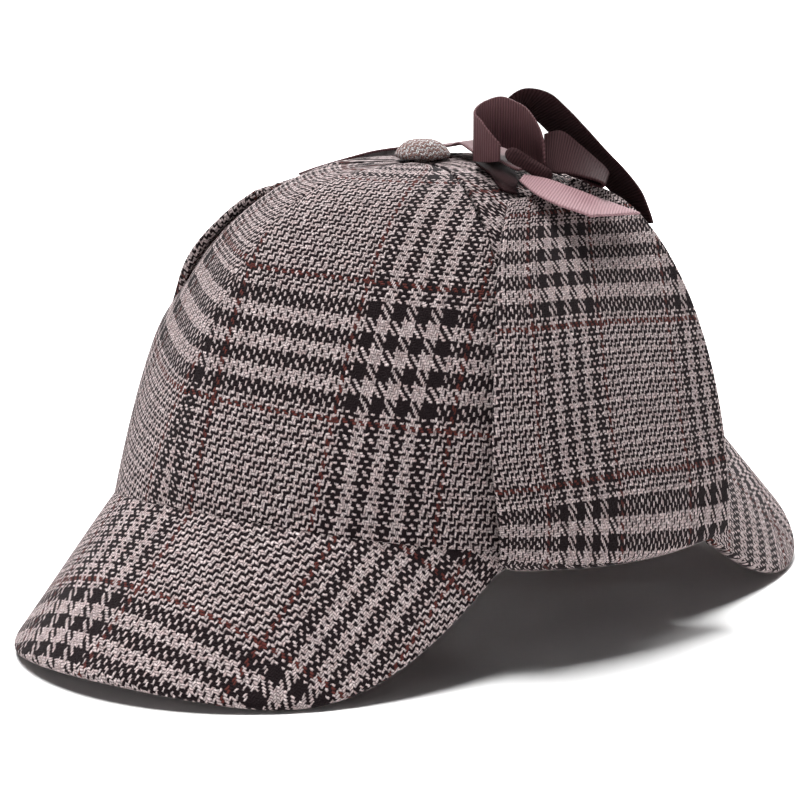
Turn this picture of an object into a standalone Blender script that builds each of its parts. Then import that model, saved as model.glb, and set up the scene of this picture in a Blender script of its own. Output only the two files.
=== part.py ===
"""Deerstalker hat: six cloth panels, two stiff peaks, folded-up ear flaps and a ribbon bow.

The hat stands on a table at z = 0, its front toward -Y and the wearer's left toward +X.
"""
import math

import bpy
from mathutils import Vector

# ---- driving sizes, metres unless named otherwise ------------------------
HALF_WIDTH = 0.0833        # crown outside at the rim, centre to side
FRONT_REACH = 0.1041       # centre to the front of the rim
REAR_REACH = 0.1077        # centre to the back of the rim
CROWN_TOP = 0.1383         # top of the cloth over the table
TOP_SET_BACK = 0.0028      # the top sits a little behind the middle
RIM_SIDE = 0.0306          # rim height over the table at the ears
RIM_FRONT = 0.0453
RIM_REAR = 0.0568
ROUND_OUT = 0.81           # how full the dome's outline is
ROUND_UP = 0.73
FRONT_OUT = -0.10          # change of both toward the front
FRONT_UP = 0.66
PANEL_FLAT = 0.07          # panels are flatter than the dome between seams
TOP_DIP = 0.0018           # the button's stitching draws the top in
PRESSED = 0.0027           # how far the tied right flap presses its shoulder of the crown in
SEAMS = (-180.0, -122.0, -64.0, -7.0, 64.0, 122.0, 180.0)   # degrees round from the front

CLOTH = 0.0025             # crown wall: tweed and its backing
GAP = 0.00038              # kept between neighbouring pieces
MIDDLE = (0.00125, 0.0053) # middle of the footprint from the crown's axis, moved to the origin
PEAK_THICK = 0.0030
FLAP_THICK = 0.0030
RIBBON_WIDTH = 0.0160
RIBBON_THICK = 0.0008
BUTTON_RADIUS = 0.0086

# rows of one crown panel, degrees of rise from rim to top
RISES = (0.0, 3.0, 8.0, 14.0, 21.0, 29.0, 37.0, 45.0, 53.0, 60.0, 67.0, 73.0, 78.5, 83.0,
         86.5, 88.6)
PANEL_COLUMNS = 10

# peaks: half span deg, slope deg, length, flare, fullness of outline, corner
PEAKS = {
    "front_peak": dict(half=61.9, slope=42.9, length=0.0570, flare=0.08, full=6.8, corner=1.05),
    "rear_peak": dict(half=76.6, slope=40.2, length=0.0615, flare=0.06, full=8.7, corner=1.74),
}
PEAK_COLUMNS = 26
PEAK_ROWS = 5

# fold at the foot of a flap: share of the way out, drop below the rim, spread to full width
FOLD = ((0.00, 0.0007, 0.0), (0.02, 0.0021, 0.0), (0.08, 0.0032, 0.0), (0.22, 0.0039, 0.10),
        (0.45, 0.0041, 0.35), (0.70, 0.0038, 0.75), (0.90, 0.0026, 1.00))
FLAP_COLUMNS = 11
# each flap: side, foot angles under the rim, then the leg folded up against the crown as
# rows of rise, front edge, rear edge (degrees) and the stand-off of its outside at the
# front edge, with the part added toward the rear edge (mm, growing with the square)
FLAPS = {
    "ear_flap_left": (1.0, 65.5, 100.5, (
        (0.0, 58.2, 103.7, 6.9, 9.9), (5.0, 57.7, 103.7, 6.8, 10.0), (12.0, 57.2, 103.7, 6.6, 10.1),
        (20.0, 57.7, 103.7, 6.6, 10.1), (28.0, 58.8, 103.7, 6.6, 10.1), (36.0, 60.2, 103.7, 6.6, 10.0),
        (43.0, 61.9, 103.5, 6.6, 9.6), (49.0, 64.4, 102.5, 6.6, 8.8), (54.0, 67.8, 99.5, 6.5, 7.5),
        (57.5, 72.0, 95.0, 6.5, 6.0))),
    "ear_flap_right": (-1.0, 72.5, 100.8, (
        (0.0, 68.0, 104.6, 6.2, 8.4), (5.0, 68.0, 106.0, 6.1, 8.6), (12.0, 69.5, 109.0, 5.9, 8.8),
        (20.0, 72.0, 112.0, 5.4, 9.0), (28.0, 70.5, 114.2, 4.4, 9.0), (36.0, 66.0, 115.6, 2.9, 9.2),
        (43.0, 64.0, 115.2, 2.0, 9.0), (49.0, 64.0, 113.0, 1.5, 8.2), (54.0, 65.0, 109.5, 1.2, 7.0),
        (58.5, 68.0, 105.0, 1.3, 5.6))),
}

# ribbons, row by row: centre x, y, z (mm), heading and tilt of the line across the ribbon
# (degrees, from +X and from level), share of the full width
TIE_RIGHT = (
    (-48.5, 7.0, 130.0, 94, 7, 0.80), (-43.5, 10.0, 131.5, 102, 0, 1.00),
    (-36.0, 16.0, 133.5, 112, -9, 1.00), (-29.0, 20.0, 135.5, 109, -9, 1.00),
    (-19.0, 23.0, 137.5, 100, -5, 1.00), (-8.0, 24.0, 139.0, 89, 1, 1.00),
    (3.0, 23.0, 140.5, 74, 5, 1.00), (12.0, 18.5, 142.0, 62, 6, 1.00),
    (21.0, 12.5, 140.5, 78, 9, 1.00), (29.0, 8.5, 139.0, 81, 6, 0.75),
    (35.0, 4.5, 137.0, 86, 4, 0.50), (39.0, 3.0, 136.0, 82, 4, 0.40))
TIE_LEFT = (
    (42.0, -8.5, 130.0, 58, -15, 0.25), (39.5, -7.0, 131.5, 58, -13, 0.35),
    (34.5, -2.0, 134.0, 58, -12, 0.55), (28.0, 2.5, 136.0, 58, -10, 0.75),
    (25.0, 7.5, 137.0, 58, -9, 0.65))
LOOP_FRONT = (
    (45.0, 4.5, 135.5, -52, 69, 0.30), (42.5, 6.0, 141.0, -52, 69, 0.75),
    (37.5, 6.0, 146.5, -52, 69, 0.90), (32.5, 5.0, 148.5, -52, 69, 1.00),
    (29.0, 3.5, 149.5, -52, 69, 1.00), (26.5, 0.5, 148.5, -52, 69, 1.00),
    (26.0, -3.5, 147.0, -52, 69, 1.00), (27.0, -6.5, 145.5, -52, 69, 0.95),
    (30.0, -7.5, 144.5, -52, 69, 0.82), (33.5, -8.0, 143.0, -52, 69, 0.60),
    (37.0, -7.5, 141.5, -52, 69, 0.32))
LOOP_REAR = (
    (41.0, 10.5, 140.5, 128, 49, 0.80), (46.0, 10.0, 140.8, 116, 44, 1.00),
    (51.5, 10.0, 139.3, 115, 28, 1.00), (57.0, 11.0, 136.8, 117, 16, 1.00),
    (60.5, 12.2, 134.8, 119, 9, 1.00), (61.6, 12.8, 133.4, 120, 6, 1.00),
    (60.2, 12.9, 132.6, 120, 5, 1.00), (57.0, 13.4, 133.4, 120, 7, 1.00),
    (51.5, 13.9, 135.6, 121, 13, 1.00), (47.0, 14.0, 137.2, 122, 24, 0.80),
    (45.0, 14.2, 137.8, 126, 34, 0.50))
TAIL_LIGHT = (
    (46.0, -8.0, 134.5, 114, 9, 0.40), (52.5, -8.0, 132.5, 110, 12, 0.80),
    (59.5, -6.5, 130.0, 113, 12, 1.00), (66.0, -3.0, 127.5, 116, 12, 1.00),
    (72.0, 2.5, 124.5, 119, 13, 1.00))
TAIL_DARK = (
    (41.0, 12.5, 136.5, 87, -10, 0.40), (34.5, 14.5, 140.5, 92, -19, 0.72),
    (28.5, 15.5, 146.5, 98, -14, 0.95), (25.5, 15.0, 151.5, 108, -22, 1.00),
    (27.0, 16.5, 154.5, 134, -32, 1.00), (31.5, 19.0, 154.5, 152, -24, 1.00),
    (35.5, 22.0, 150.5, 157, -19, 1.00), (41.5, 25.5, 143.5, 153, -23, 1.00),
    (47.0, 28.0, 137.5, 149, -24, 1.00), (53.0, 30.0, 132.0, 147, -21, 1.00),
    (58.0, 30.5, 127.0, 149, -15, 1.00), (61.0, 30.0, 122.5, 151, -7, 1.00),
    (62.5, 29.5, 119.5, 153, -2, 1.00))
# knot: centre, heading and tilt of its length, and length, depth and thickness (mm and degrees)
KNOT_CENTRE = (44.2, -2.4, 137.8)
KNOT_WAY = (32.0, -31.0)
KNOT_SIZE = (16.0, 5.6, 4.6)


def start():
    """Empty the scene and make the collection."""
    for item in list(bpy.data.objects):
        bpy.data.objects.remove(item, do_unlink=True)
    hat = bpy.data.collections.new("deerstalker_hat")
    bpy.context.scene.collection.children.link(hat)
    return hat


def cloth(name, colour, rough):
    """A plain material for one piece."""
    mat = bpy.data.materials.new(name)
    mat.use_nodes = True
    bsdf = mat.node_tree.nodes["Principled BSDF"]
    bsdf.inputs["Base Color"].default_value = (*colour, 1.0)
    bsdf.inputs["Roughness"].default_value = rough
    bsdf.inputs["Metallic"].default_value = 0.0
    mat.diffuse_color = (*colour, 1.0)
    return mat


def add_piece(hat, name, points, faces, mat):
    """One named piece from points and faces, shaded smooth."""
    mesh = bpy.data.meshes.new(name)
    mesh.from_pydata([tuple(p) for p in points], [], faces)
    mesh.update()
    mesh.materials.append(mat)
    for poly in mesh.polygons:
        poly.use_smooth = True
    item = bpy.data.objects.new(name, mesh)
    hat.objects.link(item)
    return item


# ---- the dome ------------------------------------------------------------
def rim_height(angle):
    """Height of the rim over the table, round from the front."""
    c = math.cos(angle)
    far = RIM_FRONT if c > 0 else RIM_REAR
    return RIM_SIDE + (far - RIM_SIDE) * c * c


def flatness(angle, rise):
    """The pull-in of a panel between its two seams."""
    deg = (math.degrees(angle) + 180.0) % 360.0 - 180.0
    for left, right in zip(SEAMS, SEAMS[1:]):
        if left <= deg <= right:
            share = (deg - left) / (right - left)
            return 1.0 - PANEL_FLAT * math.sin(math.pi * share) * math.sin(2.0 * rise)
    return 1.0


def swell(value, low, high):
    """A smooth step from 0 at `low` to 1 at `high`."""
    t = min(max((value - low) / (high - low), 0.0), 1.0)
    return t * t * (3.0 - 2.0 * t)


def pressing(angle, rise):
    """How far the right flap presses the crown in, over that shoulder only."""
    turn, up = -math.degrees(angle), math.degrees(rise)
    return (PRESSED * swell(turn, 40.0, 61.0) * (1.0 - swell(turn, 108.0, 135.0))
            * swell(up, 25.0, 39.0) * (1.0 - swell(up, 60.0, 78.0)))


def dome(angle, rise, out=0.0, flat=True):
    """A point on the crown, `out` metres beyond the cloth."""
    c, s = math.cos(angle), math.sin(angle)
    front = c * c if c > 0 else 0.0
    rho = max(math.cos(rise), 0.0) ** (ROUND_OUT + FRONT_OUT * front)
    up = math.sin(rise) ** (ROUND_UP + FRONT_UP * front) if rise > 0 else 0.0
    if flat:
        rho *= flatness(angle, rise)
    reach = FRONT_REACH if c > 0 else REAR_REACH
    rim = rim_height(angle)
    top = CROWN_TOP + 0.7 * out - TOP_DIP * swell(math.degrees(rise), 70.0, 88.0)
    return Vector(((HALF_WIDTH + out) * s * rho,
                   -(reach + out) * c * rho + TOP_SET_BACK * (1.0 - rho),
                   rim + (top - rim) * up))


def dome_normal(angle, rise):
    """Outward direction of the round dome, the panels' flatness left out."""
    rise = min(max(rise, math.radians(0.6)), math.radians(89.0))
    step = math.radians(0.3)
    across = dome(angle + step, rise, flat=False) - dome(angle - step, rise, flat=False)
    upward = dome(angle, rise + step, flat=False) - dome(angle, rise - step, flat=False)
    return across.cross(upward).normalized()


def skin_pair(outer, inner):
    """Points and faces of a closed wall between two equal grids."""
    rows, cols = len(outer), len(outer[0])
    points = [p for row in outer for p in row] + [p for row in inner for p in row]
    far = rows * cols
    faces = []
    for r in range(rows - 1):
        for c in range(cols - 1):
            a, b = r * cols + c, r * cols + c + 1
            d, e = a + cols, b + cols
            faces.append((a, b, e, d))
            faces.append((far + a, far + d, far + e, far + b))
    for c in range(cols - 1):
        faces.append((c, far + c, far + c + 1, c + 1))
        a = (rows - 1) * cols + c
        faces.append((a, a + 1, far + a + 1, far + a))
    for r in range(rows - 1):
        a, b = r * cols, (r + 1) * cols
        faces.append((a, b, far + b, far + a))
        a, b = a + cols - 1, b + cols - 1
        faces.append((a, far + a, far + b, b))
    return points, faces


def crown_panel(hat, number, left, right):
    """One cloth wedge of the dome, from the rim to the hole under the button."""
    outer, inner = [], []
    for deg in RISES:
        rise = math.radians(deg)
        row_out, row_in = [], []
        for i in range(PANEL_COLUMNS + 1):
            share = i / PANEL_COLUMNS
            angle = math.radians(left + (right - left) * share)
            here = dome(angle, rise)
            radius = math.hypot(here.x, here.y - TOP_SET_BACK)
            inset = 0.5 * GAP / radius
            angle += inset if i == 0 else -inset if i == PANEL_COLUMNS else 0.0
            way = dome_normal(angle, rise)
            here = dome(angle, rise) - way * pressing(angle, rise)
            row_out.append(here)
            row_in.append(here - way * CLOTH)
        outer.append(row_out)
        inner.append(row_in)
    points, faces = skin_pair(outer, inner)
    name = "crown_panel_%d" % number
    add_piece(hat, name, points, faces, cloth(name + "_tweed", (0.26, 0.215, 0.20), 0.95))


def top_button(hat):
    """Cloth-covered button with a short stem through the top of the crown."""
    profile = ((0.0, 0.0052), (0.0030, 0.0051), (0.0058, 0.0044), (0.0078, 0.0029),
               (BUTTON_RADIUS, 0.0011), (0.0081, -0.0003), (0.0064, -0.0008), (0.0026, -0.0008),
               (0.0026, -0.0036), (0.0, -0.0036))
    mesh = bpy.data.meshes.new("top_button")
    mesh.from_pydata([(x, 0.0, z) for x, z in profile], [(i, i + 1) for i in range(len(profile) - 1)],
                     [])
    item = bpy.data.objects.new("top_button", mesh)
    hat.objects.link(item)
    mesh.materials.append(cloth("top_button_tweed", (0.34, 0.27, 0.235), 0.95))
    spin = item.modifiers.new("turned", "SCREW")
    spin.steps = spin.render_steps = 24
    spin.use_merge_vertices = True
    spin.merge_threshold = 0.00001
    spin.use_normal_calculate = True
    item.location = (0.0, TOP_SET_BACK, CROWN_TOP - TOP_DIP + 0.0012)


# ---- the peaks -----------------------------------------------------------
def peak(hat, name, back):
    """A stiff peak: straight lines run out and down from the rim, covered in cloth."""
    size = PEAKS[name]
    slope = math.radians(size["slope"])
    side = 1.0 if back else -1.0
    rows = []
    for i in range(PEAK_COLUMNS + 1):
        share = -0.985 + 1.97 * i / PEAK_COLUMNS
        share = math.copysign(1.0 - (1.0 - abs(share)) ** 1.25, share)
        turn = math.radians(size["half"]) * share
        angle = math.pi - turn if back else turn
        root = dome(angle, 0.0)
        run = Vector((size["flare"] * math.sin(turn), side * math.cos(slope), -math.sin(slope)))
        run.normalize()
        reach = size["length"] * (1.0 - abs(share) ** size["full"]) ** (1.0 / size["corner"])
        start_at = root + run * 0.0001 + Vector((0.0, 0.0, -GAP - 0.0001))
        rows.append([start_at + run * (reach * r / PEAK_ROWS) for r in range(PEAK_ROWS + 1)])
    cols = PEAK_ROWS + 1
    points = [p for row in rows for p in row]
    faces = [(r * cols + c, r * cols + c + 1, (r + 1) * cols + c + 1, (r + 1) * cols + c)
             for r in range(PEAK_COLUMNS) for c in range(PEAK_ROWS)]
    item = add_piece(hat, name, points, faces, cloth(name + "_tweed", (0.26, 0.215, 0.20), 0.95))
    wall = item.modifiers.new("stiff board and cloth", "SOLIDIFY")
    wall.thickness = PEAK_THICK
    wall.offset = -1.0
    edge = item.modifiers.new("turned edge", "BEVEL")
    edge.width = 0.0011
    edge.segments = 2
    edge.limit_method = "ANGLE"
    edge.angle_limit = math.radians(55)
    return item


# ---- the ear flaps -------------------------------------------------------
def ear_flap(hat, name):
    """A lined flap: sewn under the rim, folded round at the foot and up the crown."""
    side, foot_front, foot_rear, leg = FLAPS[name]
    half = FLAP_THICK / 2
    rows = []
    for share_out, drop, spread in FOLD:
        front = foot_front + (leg[0][1] - foot_front) * spread
        rear = foot_rear + (leg[0][2] - foot_rear) * spread
        row = []
        for i in range(FLAP_COLUMNS + 1):
            w = i / FLAP_COLUMNS
            angle = math.radians(front + (rear - front) * w)
            mid = (leg[0][3] + leg[0][4] * w * w) * 0.001 - half
            p = dome(angle, 0.0, -CLOTH / 2 + (mid + CLOTH / 2) * share_out)
            row.append(Vector((p.x, p.y, rim_height(angle) - drop)))
        rows.append(row)
    for rise, front, rear, off, more in leg:
        row = []
        for i in range(FLAP_COLUMNS + 1):
            w = i / FLAP_COLUMNS
            angle = math.radians(front + (rear - front) * w)
            row.append(dome(angle, math.radians(rise), (off + more * w * w) * 0.001 - half))
        rows.append(row)
    cols = FLAP_COLUMNS + 1
    points = [Vector((p.x * side, p.y, p.z)) for row in rows for p in row]
    faces = []
    for r in range(len(rows) - 1):
        for c in range(FLAP_COLUMNS):
            a = r * cols + c
            quad = (a, a + 1, a + cols + 1, a + cols)
            faces.append(quad if side > 0 else quad[::-1])
    item = add_piece(hat, name, points, faces, cloth(name + "_tweed", (0.26, 0.215, 0.20), 0.95))
    wall = item.modifiers.new("cloth and lining", "SOLIDIFY")
    wall.thickness = FLAP_THICK
    wall.offset = 0.0
    edge = item.modifiers.new("turned edge", "BEVEL")
    edge.width = 0.0011
    edge.segments = 2
    edge.limit_method = "ANGLE"
    edge.angle_limit = math.radians(55)
    return item


# ---- the ribbons ---------------------------------------------------------
def curve_through(table, t):
    """A smooth run through the rows of a table, t from 0 to 1."""
    n = len(table) - 1
    k = min(int(t * n), n - 1)
    u = t * n - k
    rows = [table[min(max(k + j, 0), n)] for j in (-1, 0, 1, 2)]
    out = []
    for a, b, c, d in zip(*rows):
        out.append(0.5 * (2 * b + (c - a) * u + (2 * a - 5 * b + 4 * c - d) * u * u
                          + (3 * b - a - 3 * c + d) * u ** 3))
    return out


def ribbon(hat, name, table, steps, slant=0.0):
    """A flat ribbon along a table of centres, with its real thickness."""
    rows = []
    for i in range(steps + 1):
        x, y, z, heading, tilt, share = curve_through(table, i / steps)
        here = Vector((x, y, z)) * 0.001
        after = Vector(curve_through(table, min(i / steps + 0.02, 1.0))[:3])
        before = Vector(curve_through(table, max(i / steps - 0.02, 0.0))[:3])
        along = (after - before).normalized()
        across = Vector((math.cos(math.radians(heading)), math.sin(math.radians(heading)), 0.0))
        across *= math.cos(math.radians(tilt))
        across.z = math.sin(math.radians(tilt))
        half = across * (RIBBON_WIDTH / 2 * share)
        tip = along * slant * max(0.0, i / steps - 0.75) * 4.0
        rows.append([here + half * k + tip * k for k in (-1.0, -0.5, 0.0, 0.5, 1.0)])
    points = [p for row in rows for p in row]
    faces = [(r * 5 + c, r * 5 + c + 1, r * 5 + c + 6, r * 5 + c + 5)
             for r in range(steps) for c in range(4)]
    item = add_piece(hat, name, points, faces, cloth(name + "_grosgrain", (0.045, 0.024, 0.026), 0.6))
    wall = item.modifiers.new("ribbon", "SOLIDIFY")
    wall.thickness = RIBBON_THICK
    wall.offset = 0.0
    return item


def bow_knot(hat):
    """The wrapped middle of the bow."""
    heading, tilt = (math.radians(a) for a in KNOT_WAY)
    bpy.ops.mesh.primitive_cube_add(size=1.0, location=[c * 0.001 for c in KNOT_CENTRE],
                                    rotation=(0.0, -tilt, heading))
    item = bpy.context.object
    item.name = item.data.name = "bow_knot"
    item.scale = [s * 0.001 for s in KNOT_SIZE]
    bpy.ops.object.transform_apply(location=False, rotation=True, scale=True)
    for owner in list(item.users_collection):
        owner.objects.unlink(item)
    hat.objects.link(item)
    item.data.materials.append(cloth("bow_knot_grosgrain", (0.045, 0.024, 0.026), 0.6))
    soft = item.modifiers.new("soft corners", "BEVEL")
    soft.width = 0.0019
    soft.segments = 3
    for poly in item.data.polygons:
        poly.use_smooth = True


def build():
    hat = start()
    for number, (left, right) in enumerate(zip(SEAMS, SEAMS[1:]), 1):
        crown_panel(hat, number, left, right)
    top_button(hat)
    peak(hat, "front_peak", False)
    peak(hat, "rear_peak", True)
    ear_flap(hat, "ear_flap_left")
    ear_flap(hat, "ear_flap_right")
    ribbon(hat, "tie_right", TIE_RIGHT, 20)
    ribbon(hat, "tie_left", TIE_LEFT, 6)
    bow_knot(hat)
    ribbon(hat, "bow_loop_front", LOOP_FRONT, 28)
    ribbon(hat, "bow_loop_rear", LOOP_REAR, 22)
    ribbon(hat, "bow_tail_light", TAIL_LIGHT, 10, slant=0.0068)
    ribbon(hat, "bow_tail_dark", TAIL_DARK, 22)
    for item in hat.objects:
        item.location -= Vector((MIDDLE[0], MIDDLE[1], 0.0))


build()
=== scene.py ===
"""Deerstalker hat, dressed: checked tweed on crown, peaks, ear flaps and button, and a
grosgrain bow, on a pale floor under one broad sun and two soft lights.

The file is laid out as an add-on: sizes and colours are properties, each piece or group of
like pieces is an operator, and main() calls them in order.
"""
import math

import bpy
import numpy as np
from bpy.props import FloatProperty, FloatVectorProperty, IntProperty, PointerProperty
from mathutils import Matrix, Vector, noise


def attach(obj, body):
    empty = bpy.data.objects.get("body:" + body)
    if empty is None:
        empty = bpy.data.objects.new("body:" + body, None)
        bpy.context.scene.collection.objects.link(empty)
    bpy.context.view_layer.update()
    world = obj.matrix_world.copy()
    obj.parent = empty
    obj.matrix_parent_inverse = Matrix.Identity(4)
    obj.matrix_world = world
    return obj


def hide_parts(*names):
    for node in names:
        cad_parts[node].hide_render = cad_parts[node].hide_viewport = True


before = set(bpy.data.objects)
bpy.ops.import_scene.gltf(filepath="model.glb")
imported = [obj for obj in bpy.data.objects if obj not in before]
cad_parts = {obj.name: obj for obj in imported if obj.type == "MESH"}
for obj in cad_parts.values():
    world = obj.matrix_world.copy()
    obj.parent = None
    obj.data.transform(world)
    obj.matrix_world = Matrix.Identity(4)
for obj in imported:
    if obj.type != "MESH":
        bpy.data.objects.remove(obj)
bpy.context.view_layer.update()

bl_info = {
    "name": "Deerstalker hat",
    "version": (1, 0, 0),
    "blender": (4, 5, 0),
    "location": "3D View > Sidebar > Deerstalker",
    "description": "Builds a checked tweed deerstalker hat with a grosgrain bow",
    "category": "Add Mesh",
}

MM = 0.001
YARN = 0.7 * MM   # one thread, on average
DEG = math.pi / 180.0
SEAMS = (-180.0, -122.0, -64.0, -7.0, 64.0, 122.0, 180.0)   # degrees round from the front
MIDDLE = np.array((0.00125, 0.0053, 0.0))   # the crown's axis lies this far behind the origin

# how the cloth lies on each piece: turn of the warp (degrees), thread numbers at the piece's own
# zero, and the yarn spacing across warp and weft (mm)
LAY = {
    "crown_panel_1": (0.0, 40.0, 10.0, 0.605, 0.79),
    "crown_panel_2": (0.0, 12.0, 60.0, 0.605, 0.79),
    "crown_panel_3": (-6.4, 60.0, 56.0, 0.64, 0.76),
    "crown_panel_4": (-6.4, 3.1, 70.0, 0.64, 0.76),
    "crown_panel_5": (0.0, 30.0, 20.0, 0.605, 0.79),
    "crown_panel_6": (0.0, 55.0, 33.0, 0.605, 0.79),
    "front_peak": (-4.2, -3.0, -38.5, 0.733, 0.79),
    "rear_peak": (0.0, 30.0, 20.0, 0.605, 0.79),
    "ear_flap_left": (-4.8, 82.3, -6.0, 0.48, 0.815),
    "ear_flap_right": (0.0, 30.0, 40.0, 0.605, 0.79),
    "top_button": (20.0, 85.0, 80.0, 0.56, 0.66),
}

# the check's plain ground has a dark thread every 2.4 threads, and red pairs start at these threads
DARK_EVERY = 2.4
FIRST_DARK = 0.65
RED_PAIRS = (50.0, 109.0)
FLAP_RED_PAIRS = (46.0, 105.0)

# peaks: half span deg, slope deg, length, flare, fullness of outline, corner
PEAKS = {
    "front_peak": dict(half=61.9, slope=42.9, length=0.0570, flare=0.08, full=6.8, corner=1.05),
    "rear_peak": dict(half=76.6, slope=40.2, length=0.0615, flare=0.06, full=8.7, corner=1.74),
}

# fold at the foot of a flap: share of the way out, drop below the rim, spread to full width
FOLD = ((0.00, 0.0007, 0.0), (0.02, 0.0021, 0.0), (0.08, 0.0032, 0.0), (0.22, 0.0039, 0.10),
        (0.45, 0.0041, 0.35), (0.70, 0.0038, 0.75), (0.90, 0.0026, 1.00))
# each flap: side, foot angles under the rim, then the leg folded up against the crown as rows
# of rise, front edge, rear edge (degrees) and the stand-off of its outside at the front edge,
# with the part added toward the rear edge (mm, growing with the square)
FLAPS = {
    "ear_flap_left": (1.0, 65.5, 100.5, (
        (0.0, 58.2, 103.7, 6.9, 9.9), (5.0, 57.7, 103.7, 6.8, 10.0), (12.0, 57.2, 103.7, 6.6, 10.1),
        (20.0, 57.7, 103.7, 6.6, 10.1), (28.0, 58.8, 103.7, 6.6, 10.1),
        (36.0, 60.2, 103.7, 6.6, 10.0), (43.0, 61.9, 103.5, 6.6, 9.6), (49.0, 64.4, 102.5, 6.6, 8.8),
        (54.0, 67.8, 99.5, 6.5, 7.5), (57.5, 72.0, 95.0, 6.5, 6.0))),
    "ear_flap_right": (-1.0, 72.5, 100.8, (
        (0.0, 68.0, 104.6, 6.2, 8.4), (5.0, 68.0, 106.0, 6.1, 8.6), (12.0, 69.5, 109.0, 5.9, 8.8),
        (20.0, 72.0, 112.0, 5.4, 9.0), (28.0, 70.5, 114.2, 4.4, 9.0), (36.0, 66.0, 115.6, 2.9, 9.2),
        (43.0, 64.0, 115.2, 2.0, 9.0), (49.0, 64.0, 113.0, 1.5, 8.2), (54.0, 65.0, 109.5, 1.2, 7.0),
        (58.5, 68.0, 105.0, 1.3, 5.6))),
}

# ribbons, row by row: centre x, y, z (mm), heading and tilt of the line across the ribbon
# (degrees, from +X and from level), share of the full width
RIBBONS = {
    "tie_right": (
        (-48.5, 7.0, 130.0, 94, 7, 0.80), (-43.5, 10.0, 131.5, 102, 0, 1.00),
        (-36.0, 16.0, 133.5, 112, -9, 1.00), (-29.0, 20.0, 135.5, 109, -9, 1.00),
        (-19.0, 23.0, 137.5, 100, -5, 1.00), (-8.0, 24.0, 139.0, 89, 1, 1.00),
        (3.0, 23.0, 140.5, 74, 5, 1.00), (12.0, 18.5, 142.0, 62, 6, 1.00),
        (21.0, 12.5, 140.5, 78, 9, 1.00), (29.0, 8.5, 139.0, 81, 6, 0.75),
        (35.0, 4.5, 137.0, 86, 4, 0.50), (39.0, 3.0, 136.0, 82, 4, 0.40)),
    "tie_left": (
        (42.0, -8.5, 130.0, 58, -15, 0.25), (39.5, -7.0, 131.5, 58, -13, 0.35),
        (34.5, -2.0, 134.0, 58, -12, 0.55), (28.0, 2.5, 136.0, 58, -10, 0.75),
        (25.0, 7.5, 137.0, 58, -9, 0.65)),
    "bow_loop_front": (
        (45.0, 4.5, 135.5, -52, 69, 0.30), (42.5, 6.0, 141.0, -52, 69, 0.75),
        (37.5, 6.0, 146.5, -52, 69, 0.90), (32.5, 5.0, 148.5, -52, 69, 1.00),
        (29.0, 3.5, 149.5, -52, 69, 1.00), (26.5, 0.5, 148.5, -52, 69, 1.00),
        (26.0, -3.5, 147.0, -52, 69, 1.00), (27.0, -6.5, 145.5, -52, 69, 0.95),
        (30.0, -7.5, 144.5, -52, 69, 0.82), (33.5, -8.0, 143.0, -52, 69, 0.60),
        (37.0, -7.5, 141.5, -52, 69, 0.32)),
    "bow_loop_rear": (
        (41.0, 10.5, 140.5, 128, 49, 0.80), (46.0, 10.0, 140.8, 116, 44, 1.00),
        (51.5, 10.0, 139.3, 115, 28, 1.00), (57.0, 11.0, 136.8, 117, 16, 1.00),
        (60.5, 12.2, 134.8, 119, 9, 1.00), (61.6, 12.8, 133.4, 120, 6, 1.00),
        (60.2, 12.9, 132.6, 120, 5, 1.00), (57.0, 13.4, 133.4, 120, 7, 1.00),
        (51.5, 13.9, 135.6, 121, 13, 1.00), (47.0, 14.0, 137.2, 122, 24, 0.80),
        (45.0, 14.2, 137.8, 126, 34, 0.50)),
    "bow_tail_light": (
        (46.0, -8.0, 134.5, 114, 9, 0.40), (52.5, -8.0, 132.5, 110, 12, 0.80),
        (59.5, -6.5, 130.0, 113, 12, 1.00), (66.0, -3.0, 127.5, 116, 12, 1.00),
        (72.0, 2.5, 124.5, 119, 13, 1.00)),
    "bow_tail_dark": (
        (41.0, 12.5, 136.5, 87, -10, 0.40), (34.5, 14.5, 140.5, 92, -19, 0.72),
        (28.5, 15.5, 146.5, 98, -14, 0.95), (25.5, 15.0, 151.5, 108, -22, 1.00),
        (27.0, 16.5, 154.5, 134, -32, 1.00), (31.5, 19.0, 154.5, 152, -24, 1.00),
        (35.5, 22.0, 150.5, 157, -19, 1.00), (41.5, 25.5, 143.5, 153, -23, 1.00),
        (47.0, 28.0, 137.5, 149, -24, 1.00), (53.0, 30.0, 132.0, 147, -21, 1.00),
        (58.0, 30.5, 127.0, 149, -15, 1.00), (61.0, 30.0, 122.5, 151, -7, 1.00),
        (62.5, 29.5, 119.5, 153, -2, 1.00)),
}
SLANTED = {"bow_tail_light": 0.0068}
BRIGHT_LIT_RIBBONS = ("bow_tail_light",)               # painted light: the short tail's lit top, a much brighter copy of the ribbon
HALF_LIT_RIBBONS = ("bow_loop_front", "tie_right")  # painted light: these lit pieces take a brighter copy of the ribbon
HALF_LIT_LIFT = 3.5                         # painted light: this many times brighter than the pieces in shade
# knot: centre (mm), heading and tilt of its length (degrees), and length, depth and thickness (mm)
KNOT_CENTRE = (44.2, -2.4, 137.8)
KNOT_WAY = (32.0, -31.0)
KNOT_SIZE = (16.0, 5.6, 4.6)


# ---- sizes and colours that a user would change ------------------------------------------
def length(name, text, value):
    """A length property in metres."""
    return FloatProperty(name=name, description=text, default=value, unit="LENGTH", precision=5)


def share(name, text, value):
    """A plain number property."""
    return FloatProperty(name=name, description=text, default=value, precision=3)


def colour(name, text, value):
    """A colour property."""
    return FloatVectorProperty(name=name, description=text, default=value, subtype="COLOR",
                               size=3, min=0.0, max=1.0)


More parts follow.
